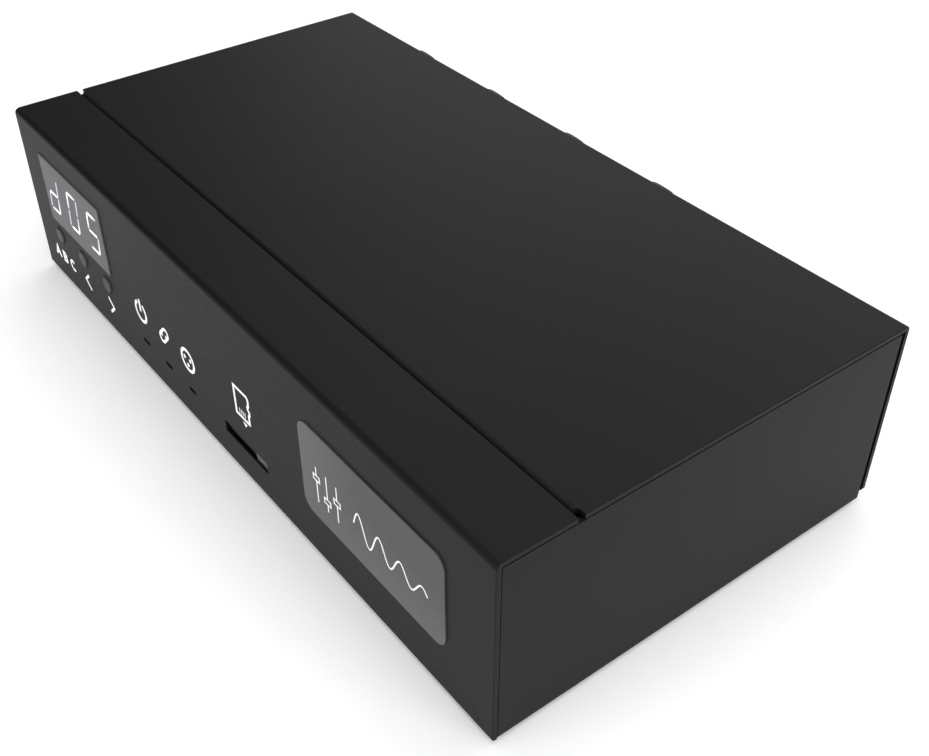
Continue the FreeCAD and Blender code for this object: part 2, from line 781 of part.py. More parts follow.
def make_display():
    """A three-digit display that reads d05, in one grey-faced housing."""
    shown = ("bcdeg", "abcdef", "acdfg")
    outlines = digit_outlines()
    lit, dark = [], []
    for place, letters in zip((-1, 0, 1), shown):
        x_shift = value(f"display_x + {place} * digit_pitch")
        for letter, outline in outlines.items():
            (lit if letter in letters else dark).append(segment_solid(outline, x_shift))
    block = box("display_block", ("display_x - display_width / 2 + display_gap", "-display_proud",
                                  "display_z - display_height / 2 + display_gap"),
                ("display_width - 2 * display_gap", "display_depth", "display_height - 2 * display_gap"))
    housing = eased("display_block", block, "rim_radius")
    pieces = []
    for label, solids in (("segments_lit", lit), ("segments_dark", dark)):
        piece = DOC.addObject("Part::Feature", f"{label}_solids")
        piece.Shape = Part.makeCompound(solids)
        pieces.append(piece)
    wells = DOC.addObject("Part::Feature", "segment_wells")
    wells.Shape = Part.makeCompound(lit + dark)
    node(cut("display_housing", housing, wells), "display_housing")
    node(pieces[0], "segments_lit")
    node(pieces[1], "segments_dark")


# Buttons, indicators and badge.

def make_buttons():
    """Each button is a flanged cap that bears on the plunger of a switch on the front board."""
    names = {"button_bank": -1, "button_previous": 0, "button_next": 1}
    for number, (name, step) in enumerate(names.items(), 1):
        x = f"button_x + {step} * button_pitch"
        body = new_body(name)
        sketch = new_sketch(body, f"{name}_profile", "XY", "0", [polygon(
            ("0", "-cap_proud"), ("cap_radius - 0.25", "-cap_proud"), ("cap_radius", "0.25 - cap_proud"),
            ("cap_radius", "tray_gauge + 0.35"), ("cap_flange", "tray_gauge + 0.35"),
            ("cap_flange", "tray_gauge + 1.15"), ("plunger_radius", "tray_gauge + 1.15"),
            ("plunger_radius", "plunger_front"), ("0", "plunger_front"))])
        turned = body.newObject("PartDesign::Revolution", f"{name}_turned")
        turned.Profile = sketch
        turned.ReferenceAxis = (sketch, ["V_Axis"])
        turned.Angle = 360
        body.Tip = turned
        node(body, name, x, "0", "button_z")
        block = box(f"switch_{number}_block", ("-switch_width / 2", "0", "-switch_width / 2"),
                    ("switch_width", "switch_depth", "switch_width"))
        well = rod(f"switch_{number}_well", "Y", ("0", "-1", "0"), "plunger_radius + 0.08", "2.6")
        node(cut(f"switch_body_{number}", block, well), f"switch_body_{number}",
             x, "front_board_face - switch_depth", "button_z")
        plunger = rod(f"switch_{number}_plunger", "Y", ("0", "0", "0"), "plunger_radius", "1.9")
        node(plunger, f"switch_plunger_{number}", x, "plunger_front", "button_z")


def make_indicators():
    """One moulded light pipe with three prongs, and the lamps behind it and behind the badge."""
    bar = box("light_pipe_bar", ("lamp_x - lamp_pitch - 2.5", "tray_gauge + 0.1", "lamp_z - 1.6"),
              ("2 * lamp_pitch + 5", "1.4", "3.2"))
    prongs = [box(f"light_pipe_prong_{step + 2}",
                  (f"lamp_x + {step} * lamp_pitch - lamp_width / 2 + 0.1", "0.6",
                   "lamp_z - lamp_height / 2 + 0.1"),
                  ("lamp_width - 0.2", "6", "lamp_height - 0.2")) for step in (-1, 0, 1)]
    node(fuse("light_pipe", bar, *prongs), "light_pipe")
    spots = [(f"lamp_x + {step} * lamp_pitch", "lamp_z") for step in (-1, 0, 1)]
    spots += [(f"badge_x + {step} * 10", "badge_z") for step in (-1.5, -0.5, 0.5, 1.5)]
    lamps = [box(f"lamp_{number}", (f"{x} - 1", "front_board_face - 0.9", f"{z} - 0.6"), ("2", "0.9", "1.2"))
             for number, (x, z) in enumerate(spots, 1)]
    node(group("indicator_lamps", lamps), "indicator_lamps")


def make_badge():
    """A translucent window with a flange behind the panel, and the diffuser that lights it."""
    body = new_body("badge_window")
    extrude(body, "badge_face", "XZ", "-badge_proud", "tray_gauge + badge_proud + 0.15",
            [rounded("0", "0", "badge_width - 2 * badge_gap", "badge_height - 2 * badge_gap",
                     "badge_radius - badge_gap")])
    soften_face(body, "badge_rim", "-badge_proud", "rim_radius")
    extrude(body, "badge_flange", "XZ", "tray_gauge + 0.05", "1.2",
            [rounded("0", "0", "badge_width + 3.6", "badge_height + 3.6", "badge_radius + 1")])
    node(body, "badge_window", "badge_x", "0", "badge_z")
    plate = box("badge_diffuser_plate", ("-badge_width / 2 + 1", "0", "-badge_height / 2 + 1"),
                ("badge_width - 2", "3", "badge_height - 2"))
    node(eased("badge_diffuser", plate, "0.3"), "badge_diffuser", "badge_x", "tray_gauge + 1.25", "badge_z")


# Memory card.

def make_card():
    """A notched card, its metal-lidded reader, and the reader's moulded base."""
    body = new_body("memory_card")
    half = "card_width / 2"
    extrude(body, "card_plate", "XY", "0", "card_gauge", [polygon(
        (f"-{half}", "0"), (half, "0"), (half, "5.2"), (f"{half} - 0.7", "5.9"), (f"{half} - 0.7", "6.9"),
        (half, "6.9"), (half, "8.4"), (f"{half} - 1.2", "9.6"), (f"{half} - 1.2", "card_length"),
        (f"-{half}", "card_length"))])
    extrude(body, "card_ridge", "XY", "card_gauge - 0.1", "0.35", [span(f"-{half}", "0", half, "0.9")])
    ease(body, "card_corners", "Z", [(f"-{half}", "0"), (half, "0"), (f"-{half}", "card_length"),
                                     (f"{half} - 1.2", "card_length")], "0.5")
    node(body, "memory_card", "card_x", "card_front", "card_low")
    outer = box("reader_lid", ("reader_left", "tongue_front", "board_top"),
                ("reader_right - reader_left", "reader_rear - tongue_front", "reader_top - board_top"))
    inner = box("reader_room", ("reader_left + reader_wall", "tongue_front - 1", "board_top - 1"),
                ("reader_right - reader_left - 2 * reader_wall",
                 "reader_rear - tongue_front + 1 - reader_wall",
                 "reader_top - board_top + 1 - reader_wall"))
    shelf = box("reader_shelf", ("stop_left", "stop_front", "stop_low"),
                ("stop_width", "tongue_front - stop_front + 2", "reader_wall"))
    stop = box("reader_stop", ("stop_left", "stop_front", "stop_low"),
               ("stop_width", "reader_wall", "slot_low + slot_height - 0.1 - stop_low"))
    shell = cut("card_reader_lid", outer, inner)
    node(fuse("card_reader_lid", shell, shelf, stop), "card_reader_lid")
    base = box("reader_base", ("0", "0", "0"),
               ("reader_right - reader_left - 2 * reader_wall",
                "reader_rear - tongue_front - reader_wall", "reader_base_height"))
    node(base, "card_reader_base", "reader_left + reader_wall", "tongue_front", "board_top")


# Three-pole sockets.

def socket_housing(number):
    """The moulded housing: a flange block on the board with a barrel through the back panel."""
    body = new_body(f"socket_housing_{number}")
    reach = "socket_width / 2"
    extrude(body, f"housing_block_{number}", "XZ", "-socket_depth", "socket_depth",
            [span(f"-{reach}", "socket_floor", reach, "socket_top")])
    extrude(body, f"housing_barrel_{number}", "XZ", "-1", "cover_gauge + barrel_proud + 1",
            [circle("0", "0", "barrel_radius")])
    extrude(body, f"housing_bore_{number}", "XZ", "-bore_depth", "bore_depth + 4",
            [circle("0", "0", "bore_radius")], removes=True)
    extrude(body, f"housing_seat_{number}", "XZ", "-socket_depth - 1", "socket_depth",
            [circle("0", "0", "insert_radius")], removes=True)
    extrude(body, f"housing_channel_{number}", "XY", "channel_floor", "6",
            [span("-channel_width / 2", "-socket_depth + 2", "channel_width / 2", "1")], removes=True)
    extrude(body, f"housing_hook_slot_{number}", "XY", "bore_radius - 1.5", "6",
            [span("-2.4", "-13.8", "2.4", "-9.6")], removes=True)
    extrude(body, f"housing_pin_bore_{number}", "YZ", "0", "15",
            [circle("-pivot_back", "pivot_z", "pivot_radius")], removes=True, both_ways=True)
    extrude(body, f"housing_screw_bores_{number}", "XZ", "-panel_screw_length", "panel_screw_length + 1",
            [circle(f"{sign} * socket_screw_x", f"-{sign} * socket_screw_z", "panel_screw_radius")
             for sign in (-1, 1)], removes=True)
    extrude(body, f"housing_hollow_{number}", "XZ", "-socket_depth - 1", "6", [
        span(f"{reach} - 5.2", "-9", f"{reach} - 1.2", "7.5"),
        span(f"1.2 - {reach}", "-7.5", f"5.2 - {reach}", "9")], removes=True)
    ease(body, f"housing_edges_{number}", "Y", [(f"-{reach}", "socket_top"), (reach, "socket_top")], "1.5")
    return node(body, f"socket_housing_{number}", socket_shift(number - 1), "inner_back", "socket_z")


def socket_insert(number):
    """The round insert that carries the three contacts, with a key slot at its top."""
    body = new_body(f"socket_insert_{number}")
    extrude(body, f"insert_core_{number}", "XZ", "-socket_depth", "socket_depth + cover_gauge + 0.2",
            [circle("0", "0", "insert_radius")])
    hole = extrude(body, f"insert_hole_{number}", "XZ", "-socket_depth - 1", "socket_depth + 4",
                   [circle("0", "-contact_circle", "contact_radius")], removes=True)
    ring = body.newObject("PartDesign::PolarPattern", f"insert_holes_{number}")
    ring.Originals = [hole]
    ring.Axis = (next(item for item in body.Origin.OriginFeatures if item.Role == "Y_Axis"), [""])
    ring.Angle = 360
    ring.Occurrences = 3
    body.Tip = ring
    DOC.recompute()
    extrude(body, f"insert_key_{number}", "XY", "insert_radius - 1.6", "3",
            [span("-1", "-8", "1", "3")], removes=True)
    return node(body, f"socket_insert_{number}", socket_shift(number - 1), "inner_back", "socket_z")


def socket_contacts(number):
    """Three contact tubes with square tails down to the board."""
    tubes = []
    for pole, angle in enumerate((-90, 30, 150), 1):
        name = f"contact_{number}_{pole}"
        x = f"contact_circle * cos({angle} deg)"
        z = f"contact_circle * sin({angle} deg)"
        tube = rod(f"{name}_tube", "Y", (x, "-socket_depth", z), "contact_radius", "socket_depth - 1")
        bore = rod(f"{name}_bore", "Y", (x, "-14", z), "contact_bore", "14")
        tail = box(f"{name}_tail", (f"{x} - 0.4", "-socket_depth - 0.8", "socket_floor"),
                   ("0.8", "0.8", f"{z} - (socket_floor) + 0.4"))
        tubes.append(fuse(name, cut(name, tube, bore), tail))
    return node(group(f"socket_contacts_{number}", tubes), f"socket_contacts_{number}",
                socket_shift(number - 1), "inner_back", "socket_z")


def latch(number):
    """A rocking lever: a press tab outside the panel, and a hook that drops into the bore."""
    body = new_body(f"latch_{number}")
    outer = "(cover_gauge + tab_proud)"
    extrude(body, f"latch_arm_{number}", "YZ", "0", "latch_width", [polygon(
        ("-17", "latch_low + 0.4"), ("0.4", "latch_low"), ("1.6", "latch_low"),
        (f"{outer} - 0.8", "latch_low - 0.1"), (outer, "latch_low + 0.8"),
        (outer, "socket_top - 0.9"), (f"{outer} - 0.9", "socket_top"), (f"{outer} - 2.2", "socket_top"),
        ("0.4", "latch_low + latch_gauge"), ("-17", "latch_low + latch_gauge"))], both_ways=True)
    extrude(body, f"latch_hook_{number}", "YZ", "0", "4", [polygon(
        ("-12.4", "bore_radius - 0.9"), ("-11.2", "bore_radius - 0.9"), ("-10.2", "bore_radius + 0.4"),
        ("-10.2", "latch_low + 0.6"), ("-12.4", "latch_low + 0.6"))], both_ways=True)
    extrude(body, f"latch_bore_{number}", "YZ", "0", "latch_width + 2",
            [circle("-pivot_back", "pivot_z", "pivot_radius + pivot_play")], removes=True, both_ways=True)
    extrude(body, f"latch_arch_{number}", "XZ", "cover_gauge + 0.4", "tab_proud + 1", [
        span("-latch_width", "socket_top - 2 * arch_radius - 1", "latch_width", "socket_top + 1"),
        circle("0", "socket_top - arch_radius", "arch_radius")], removes=True)
    return node(body, f"latch_{number}", socket_shift(number - 1), "inner_back", "socket_z")


def make_sockets():
    pins = []
    for number in range(1, 5):
        socket_housing(number)
        socket_insert(number)
        socket_contacts(number)
        latch(number)
        start = (f"{socket_shift(number - 1)} - 7.5", "inner_back - pivot_back", "socket_z + pivot_z")
        pins.append(rod(f"latch_pin_{number}", "X", start, "pivot_radius", "15"))
    node(group("latch_pins", pins), "latch_pins")


# Network jack and USB socket.

def make_jack():
    """A shielded jack: a thin metal shell round a moulded block with a keyed mouth."""
    length = "case_depth + jack_proud - jack_front"
    shell = new_body("network_jack_shell")
    extrude(shell, "jack_can", "XZ", "jack_front", length,
            [rectangle("0", "jack_height / 2", "jack_width", "jack_height")])
    extrude(shell, "jack_room", "XZ", "jack_front - 1", f"{length} + 1 - jack_wall",
            [span("jack_wall - jack_width / 2", "-1",
                  "jack_width / 2 - jack_wall", "jack_height - jack_wall")],
            removes=True)
    extrude(shell, "jack_window", "XZ", "case_depth - 2", "4", [mouth("0.25")], removes=True)
    ease(shell, "jack_edges", "Y", [("-jack_width / 2", "jack_height"), ("jack_width / 2", "jack_height")],
         "jack_edge")
    node(shell, "network_jack_shell", "jack_x", "0", "board_top")
    insert = new_body("network_jack_insert")
    extrude(insert, "jack_block", "XZ", "jack_front + 0.2", f"{length} - 0.2 - jack_wall",
            [span("jack_wall - jack_width / 2", "0",
                  "jack_width / 2 - jack_wall", "jack_height - jack_wall - 0.3")])
    extrude(insert, "jack_mouth", "XZ", "case_depth - 14", "16", [mouth("0")], removes=True)
    node(insert, "network_jack_insert", "jack_x", "0", "board_top")


def mouth(extra):
    """The stepped outline of the plug opening, with the clip's way at the bottom."""
    half = f"(jack_mouth_width / 2 + {extra})"
    low, step, floor = f"4.2 - {extra}", f"2.6 - {extra}", f"1.3 - {extra}"
    high = f"4.2 + jack_mouth_height + {extra}"
    wide, narrow = f"(3.2 + {extra})", f"(1.8 + {extra})"
    return polygon((f"-{half}", low), (f"-{wide}", low), (f"-{wide}", step), (f"-{narrow}", step),
                   (f"-{narrow}", floor), (narrow, floor), (narrow, step), (wide, step), (wide, low),
                   (half, low), (half, high), (f"-{half}", high))


def make_usb():
    """An oval shell that stands on the board, with its contact tongue."""
    shell = new_body("usb_socket_shell")
    middle = "usb_height / 2"
    start = "case_depth - usb_length"
    extrude(shell, "usb_can", "XZ", start, "usb_length",
            [rounded("0", middle, "usb_width", "usb_height", "usb_height / 2 - 0.05")])
    extrude(shell, "usb_room", "XZ", f"{start} - 1", "usb_length + 2",
            [rounded("0", middle, "usb_width - 2 * usb_wall", "usb_height - 2 * usb_wall",
                     "usb_height / 2 - usb_wall - 0.05")], removes=True)
    node(shell, "usb_socket_shell", "usb_x", "0", "board_top")
    tongue = new_body("usb_socket_tongue")
    extrude(tongue, "usb_plug_back", "XZ", start, "1.6",
            [rounded("0", middle, "usb_width - 2 * usb_wall - 0.04", "usb_height - 2 * usb_wall - 0.04",
                     "usb_height / 2 - usb_wall - 0.1")])
    extrude(tongue, "usb_tongue", "XZ", f"{start} + 1", "usb_length - 1.8",
            [rectangle("0", middle, "6.7", "0.7")])
    node(tongue, "usb_socket_tongue", "usb_x", "0", "board_top")


def check_document():
    """Stop on any failed object or broken shape."""
    DOC.recompute()
    for thing in DOC.Objects:
        if {"Invalid", "Error"} & set(thing.State):
            raise ValueError(f"{thing.Name} is {thing.State}")
    for thing in NODES:
        if thing.Shape.isNull() or not thing.Shape.isValid() or not thing.Shape.Solids:
            raise ValueError(f"{thing.Label} has a broken shape")


def write_parts():
    os.makedirs("parts", exist_ok=True)
    for thing in NODES:
        thing.Shape.exportStep(f"parts/{thing.Label}.step")
        print(f"{thing.Label}: {len(thing.Shape.Solids)} solid(s), {thing.Shape.Volume:.1f} mm3")
    print(f"{len(NODES)} sub-parts")


make_tray()
make_cover()
make_feet()
make_spacers()
make_board_screws()
make_panel_screws()
make_boards()
make_electronics()
make_display()
make_buttons()
make_indicators()
make_badge()
make_card()
make_sockets()
make_jack()
make_usb()
check_document()
write_parts()
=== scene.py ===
import json
import math

import bmesh
import bpy
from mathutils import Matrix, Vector


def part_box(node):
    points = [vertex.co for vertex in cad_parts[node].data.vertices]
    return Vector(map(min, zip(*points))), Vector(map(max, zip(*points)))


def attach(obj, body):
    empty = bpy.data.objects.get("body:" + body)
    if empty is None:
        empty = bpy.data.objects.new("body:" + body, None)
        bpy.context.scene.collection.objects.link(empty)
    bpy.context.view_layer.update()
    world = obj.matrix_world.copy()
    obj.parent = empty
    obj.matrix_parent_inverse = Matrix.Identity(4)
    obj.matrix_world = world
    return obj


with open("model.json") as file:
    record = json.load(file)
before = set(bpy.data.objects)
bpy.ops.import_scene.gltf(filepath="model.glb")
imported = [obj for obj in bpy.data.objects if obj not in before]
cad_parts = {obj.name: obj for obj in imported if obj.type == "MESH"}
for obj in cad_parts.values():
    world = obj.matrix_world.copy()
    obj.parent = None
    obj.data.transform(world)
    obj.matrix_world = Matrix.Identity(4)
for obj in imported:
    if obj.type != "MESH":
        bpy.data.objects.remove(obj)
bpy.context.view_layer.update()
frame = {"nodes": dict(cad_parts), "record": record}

# Desktop lighting controller: its looks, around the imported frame. Lengths are in metres, and MM
# turns millimetres into metres. +X is to the right seen from the front, and the front faces -Y.

MM = 0.001
WHITE = (1.0, 1.0, 1.0, 1.0)


def middle_of(node):
    """The middle of a CAD node's box."""
    low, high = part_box(node)
    return (low + high) / 2


def case_box():
    """The folded case without its feet and what stands out of it."""
    low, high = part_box("base_tray")
    cover_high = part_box("top_cover")[1]
    return Vector((low.x, low.y, low.z)), Vector((high.x, cover_high.y, high.z))


CASE_LOW, CASE_HIGH = case_box()


# Camera. Angles are in degrees, the lens and the sensor in millimetres. AIM is the point looked at, in
# shares of the case's width, depth and height.

AZIMUTH, ELEVATION = 52.53, 38.765
AIM = (0.6451, 0.4570, 0.3441)
DISTANCE = 0.250
NEAREST = 0.01
LENS = 47.253
SENSOR = 36.0


def make_camera():
    """Look down at the case from the front right, close enough for a strong perspective."""
    turn, rise = math.radians(AZIMUTH), math.radians(ELEVATION)
    forward = Vector((-math.sin(turn) * math.cos(rise), math.cos(turn) * math.cos(rise), -math.sin(rise)))
    size = CASE_HIGH - CASE_LOW
    aim = CASE_LOW + Vector([share * length for share, length in zip(AIM, size)])
    data = bpy.data.cameras.new("camera")
    data.lens = LENS
    data.sensor_width = SENSOR
    data.clip_start = NEAREST
    camera = bpy.data.objects.new("camera", data)
    bpy.context.scene.collection.objects.link(camera)
    camera.location = aim - forward * DISTANCE
    camera.rotation_euler = forward.to_track_quat("-Z", "Y").to_euler()
    bpy.context.scene.camera = camera


# Materials. EDGE_COSINES are the cosines, between a rounded and the true normal, that count as a full
# edge and as flat.

EDGE_SAMPLES = 4
EDGE_COSINES = (0.8, 0.999)


class Shader:
    """One material's node tree, with short calls for the nodes that every finish here uses."""

    def __init__(self, name):
        self.material = bpy.data.materials.new(name)
        self.material.use_nodes = True
        self.tree = self.material.node_tree
        self.surface = self.tree.nodes["Principled BSDF"]
        self.place = self.node("ShaderNodeTexCoord").outputs["Object"]

    def node(self, kind, **values):
        """A new node with its sockets or settings given by name."""
        made = self.tree.nodes.new(kind)
        for name, value in values.items():
            if name in made.inputs:
                made.inputs[name].default_value = value
            else:
                setattr(made, name, value)
        return made

    def link(self, source, target):
        self.tree.links.new(source, target)

    def noise(self, period, detail=2.0, place=None):
        """Noise whose grains are about one period apart, in metres."""
        made = self.node("ShaderNodeTexNoise", Scale=1.0 / period, Detail=detail)
        self.link(self.place if place is None else place, made.inputs["Vector"])
        return made.outputs["Fac"]

    def away_from(self, origin):
        """The place on the surface measured from a point, as outputs named X, Y and Z."""
        away = self.node("ShaderNodeVectorMath", operation="SUBTRACT")
        away.inputs[1].default_value = origin
        self.link(self.place, away.inputs[0])
        parts = self.node("ShaderNodeSeparateXYZ")
        self.link(away.outputs["Vector"], parts.inputs["Vector"])
        return parts.outputs

    def spread(self, source, low, high, start=0.3, end=0.7):
        """A texture's values from start to end, spread over low to high."""
        made = self.node("ShaderNodeMapRange")
        made.inputs["From Min"].default_value = start
        made.inputs["From Max"].default_value = end
        made.inputs["To Min"].default_value = low
        made.inputs["To Max"].default_value = high
        self.link(source, made.inputs["Value"])
        return made.outputs["Result"]

    def blend(self, factor, low, high):
        """A colour between two, by a factor. Each is three numbers or another node's output."""
        made = self.node("ShaderNodeMix", data_type="RGBA")
        ends = [item for item in made.inputs if item.type == "RGBA"]
        for end, colour in zip(ends, (low, high)):
            if isinstance(colour, tuple):
                end.default_value = (*colour, 1.0)
            else:
                self.link(colour, end)
        self.link(factor, made.inputs["Factor"])
        return [item for item in made.outputs if item.type == "RGBA"][0]

    def edges(self, radius):
        """0 on flat ground, rising to 1 within a radius of an edge."""
        bevel = self.node("ShaderNodeBevel", samples=EDGE_SAMPLES)
        bevel.inputs["Radius"].default_value = radius
        flat = self.node("ShaderNodeNewGeometry")
        dot = self.node("ShaderNodeVectorMath", operation="DOT_PRODUCT")
        self.link(bevel.outputs["Normal"], dot.inputs[0])
        self.link(flat.outputs["Normal"], dot.inputs[1])
        return self.spread(dot.outputs["Value"], 1.0, 0.0, *EDGE_COSINES)

    def colour(self, source):
        """Colour the surface by a node's output."""
        self.link(source, self.surface.inputs["Base Color"])

    def rough(self, source):
        """Set the roughness by a node's output."""
        self.link(source, self.surface.inputs["Roughness"])

    def glow(self, strength, source=None):
        """Let the surface shine, in white or in the colour of a node's output."""
        self.surface.inputs["Emission Color"].default_value = WHITE
        self.surface.inputs["Emission Strength"].default_value = strength
        if source is not None:
            self.link(source, self.surface.inputs["Emission Color"])

    def bump(self, source, height, normal=None):
        """Raise the surface by a texture, height in metres from its 0 to its 1."""
        made = self.node("ShaderNodeBump", Strength=1.0, Distance=height)
        self.link(source, made.inputs["Height"])
        if normal is not None:
            self.link(normal, made.inputs["Normal"])
        self.link(made.outputs["Normal"], self.surface.inputs["Normal"])
        return made.outputs["Normal"]


COAT_SPECULAR = 0.13


def powder_coat():
    """Fine matte black powder coat with a faint orange peel, and a painted highlight that lightens its
    edges.
    """
    shade = Shader("case_black")
    cloud = shade.spread(shade.noise(60 * MM, 3.0), 0.0, 1.0)
    base = shade.blend(cloud, (0.0050, 0.0050, 0.0051), (0.0064, 0.0064, 0.0066))
    # Painted highlight: the coat's colour turns lighter within a quarter millimetre of every edge.
    shade.colour(shade.blend(shade.edges(0.25 * MM), base, (0.011, 0.011, 0.0113)))
    shade.surface.inputs["Specular IOR Level"].default_value = COAT_SPECULAR
    grain = shade.noise(0.35 * MM)
    shade.rough(shade.spread(grain, 0.46, 0.54))
    peel = shade.bump(shade.noise(1.8 * MM, 1.0), 0.004 * MM)
    shade.bump(grain, 0.006 * MM, peel)
    return shade.material


SPARK_PERIOD = 0.25 * MM
SPARK_HEIGHT = 0.004 * MM


def moulded(name, low, high, roughness):
    """Moulded plastic with a fine spark texture and a faint change of tone."""
    shade = Shader(name)
    shade.colour(shade.blend(shade.spread(shade.noise(8 * MM, 3.0), 0.0, 1.0), low, high))
    texture = shade.noise(SPARK_PERIOD)
    shade.rough(shade.spread(texture, roughness - 0.05, roughness + 0.07))
    shade.bump(texture, SPARK_HEIGHT)
    return shade.material


STREAK_STRETCH = (1.0, 12.0, 1.0)
STREAK_PERIOD = 0.5 * MM
STREAK_HEIGHT = 0.002 * MM


def metal(name, low, high, roughness):
    """Plated or bare metal with fine streaks along one way."""
    shade = Shader(name)
    shade.surface.inputs["Metallic"].default_value = 1.0
    stretch = shade.node("ShaderNodeMapping", Scale=STREAK_STRETCH)
    shade.link(shade.place, stretch.inputs["Vector"])
    lines = shade.noise(STREAK_PERIOD, place=stretch.outputs["Vector"])
    shade.colour(shade.blend(shade.spread(shade.noise(4 * MM, 3.0), 0.0, 1.0), low, high))
    shade.rough(shade.spread(lines, roughness - 0.06, roughness + 0.1))
    shade.bump(lines, STREAK_HEIGHT)
    return shade.material


# From a digit's middle line to where its upright strokes begin, and to where they are fully upright.

DIGIT_PITCH = 10.9 * MM
UPRIGHT_FROM = (1.9 * MM, 2.25 * MM)
SEGMENT_GLOW = 0.75


def lit_resin():
    """Lit diffusing resin: level strokes bright, upright ones a little dimmer and cooler."""
    shade = Shader("segment_lit")
    low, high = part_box("segments_lit")
    beside = shade.node("ShaderNodeMath", operation="PINGPONG")
    beside.inputs[1].default_value = DIGIT_PITCH / 2
    shade.link(shade.away_from(((low.x + high.x) / 2, 0.0, 0.0))["X"], beside.inputs[0])
    upright = shade.spread(beside.outputs["Value"], 0.0, 1.0, *UPRIGHT_FROM)
    shade.colour(shade.blend(upright, (0.85, 0.85, 0.87), (0.42, 0.41, 0.48)))
    shade.glow(SEGMENT_GLOW, shade.blend(upright, (1.0, 1.0, 1.0), (0.42, 0.41, 0.50)))
    shade.rough(shade.spread(shade.noise(1.6 * MM, 1.0), 0.4, 0.5, 0.0, 1.0))
    return shade.material


# How far the painted reflection reaches into the badge from its left and from its lower edge, in shares of
# its size.

REACH_ACROSS, REACH_UP = 0.45, 0.6


def badge_painted_reflection():
    """Smoky translucent plastic with a painted reflection that lightens it towards its left and lower
    edges.
    """
    shade = Shader("badge_grey")
    low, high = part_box("badge_window")
    place = shade.away_from(low)
    # Painted reflection: the colour is lighter near the badge's left and lower edges.
    lit = shade.node("ShaderNodeMath", operation="MAXIMUM")
    sides = (("X", (high.x - low.x) * REACH_ACROSS), ("Z", (high.z - low.z) * REACH_UP))
    for entry, (axis, reach) in zip(lit.inputs, sides):
        shade.link(shade.spread(place[axis], 1.0, 0.0, 0.0, reach), entry)
    shade.colour(shade.blend(lit.outputs["Value"], (0.040,) * 3, (0.094,) * 3))
    grain = shade.noise(SPARK_PERIOD)
    shade.rough(shade.spread(grain, 0.40, 0.50))
    shade.bump(grain, 0.003 * MM)
    return shade.material


def board_resist():
    """Green resist over glass-epoxy, with a faint weave."""
    shade = Shader("board_green")
    weave = shade.node("ShaderNodeTexWave", Scale=1.0 / (1.2 * MM), Distortion=0.6)
    shade.link(shade.place, weave.inputs["Vector"])
    shade.colour(shade.blend(weave.outputs["Fac"], (0.010, 0.075, 0.035), (0.014, 0.10, 0.048)))
    shade.rough(shade.spread(shade.noise(3 * MM), 0.28, 0.4))
    shade.bump(weave.outputs["Fac"], 0.003 * MM)
    return shade.material


def make_materials():
    """One finish for each of the record's slots: two colours that it lies between, and its roughness."""
    grey = {
        "foot_rubber": ((0.018,) * 3, (0.026,) * 3, 0.85),
        "connector_black": ((0.014,) * 3, (0.020,) * 3, 0.5),
        "chip_black": ((0.012,) * 3, (0.018,) * 3, 0.6),
        "module_black": ((0.016,) * 3, (0.024,) * 3, 0.45),
        "display_grey": ((0.092, 0.092, 0.095), (0.106, 0.106, 0.110), 0.5),
        "segment_dark": ((0.10, 0.10, 0.106), (0.112, 0.112, 0.118), 0.5),
        "button_grey": ((0.024,) * 3, (0.031,) * 3, 0.5),
        "pipe_smoke": ((0.002,) * 3, (0.004,) * 3, 0.35),
        "lamp_white": ((0.7, 0.69, 0.6), (0.8, 0.78, 0.7), 0.4),
        "diffuser_white": ((0.7,) * 3, (0.8,) * 3, 0.5),
        "card_black": ((0.004,) * 3, (0.006,) * 3, 0.6),
        "socket_black": ((0.014,) * 3, (0.020,) * 3, 0.45),
        "switch_black": ((0.014,) * 3, (0.020,) * 3, 0.5),
    }
    made = {name: moulded(name, *finish) for name, finish in grey.items()}
    plated = {
        "spacer_steel": ((0.42,) * 3, (0.5,) * 3, 0.35),
        "screw_steel": ((0.45,) * 3, (0.55,) * 3, 0.3),
        "screw_black": ((0.10,) * 3, (0.14,) * 3, 0.34),
        "can_aluminium": ((0.6,) * 3, (0.7,) * 3, 0.3),
        "cell_steel": ((0.5,) * 3, (0.6,) * 3, 0.25),
        "reader_steel": ((0.13,) * 3, (0.17,) * 3, 0.4),
        "pin_steel": ((0.5,) * 3, (0.55,) * 3, 0.25),
        "jack_nickel": ((0.55, 0.54, 0.52), (0.65, 0.64, 0.61), 0.25),
        "contact_silver": ((0.7, 0.69, 0.66), (0.8, 0.78, 0.75), 0.25),
        "latch_grey": ((0.05,) * 3, (0.07,) * 3, 0.42),
    }
    made.update({name: metal(name, *finish) for name, finish in plated.items()})
    made["case_black"] = powder_coat()
    made["segment_lit"] = lit_resin()
    made["badge_grey"] = badge_painted_reflection()
    made["board_green"] = board_resist()
    return made


def dress_frame(finishes):
    """Give every CAD node the finish of its slot."""
    for entry in frame["record"]["subparts"]:
        mesh = frame["nodes"][entry["node"]].data
        mesh.materials.clear()
        mesh.materials.append(finishes[entry["material_slot"]])


# Flat shapes, thin as ink: the signs on the front and the painted shade of the screws' cross recesses on
# the back.
# Each is drawn in millimetres from a middle point.

INK_SUNK = 0.01 * MM
INK_PROUD = 0.02 * MM
INK_MERGE = 0.0005 * MM
INK_GLOW = 0.22
MITRE_LIMIT = 0.35


def arc(x, z, radius, start, end, steps=24):
    """Points along an arc, its angles in degrees."""
    angles = [math.radians(start + (end - start) * step / steps) for step in range(steps + 1)]
    return [(x + radius * math.cos(angle), z + radius * math.sin(angle)) for angle in angles]


def turned(points, degrees):
    """Points turned about their middle."""
    turn = math.radians(degrees)
    return [(u * math.cos(turn) - v * math.sin(turn), u * math.sin(turn) + v * math.cos(turn))
            for u, v in points]


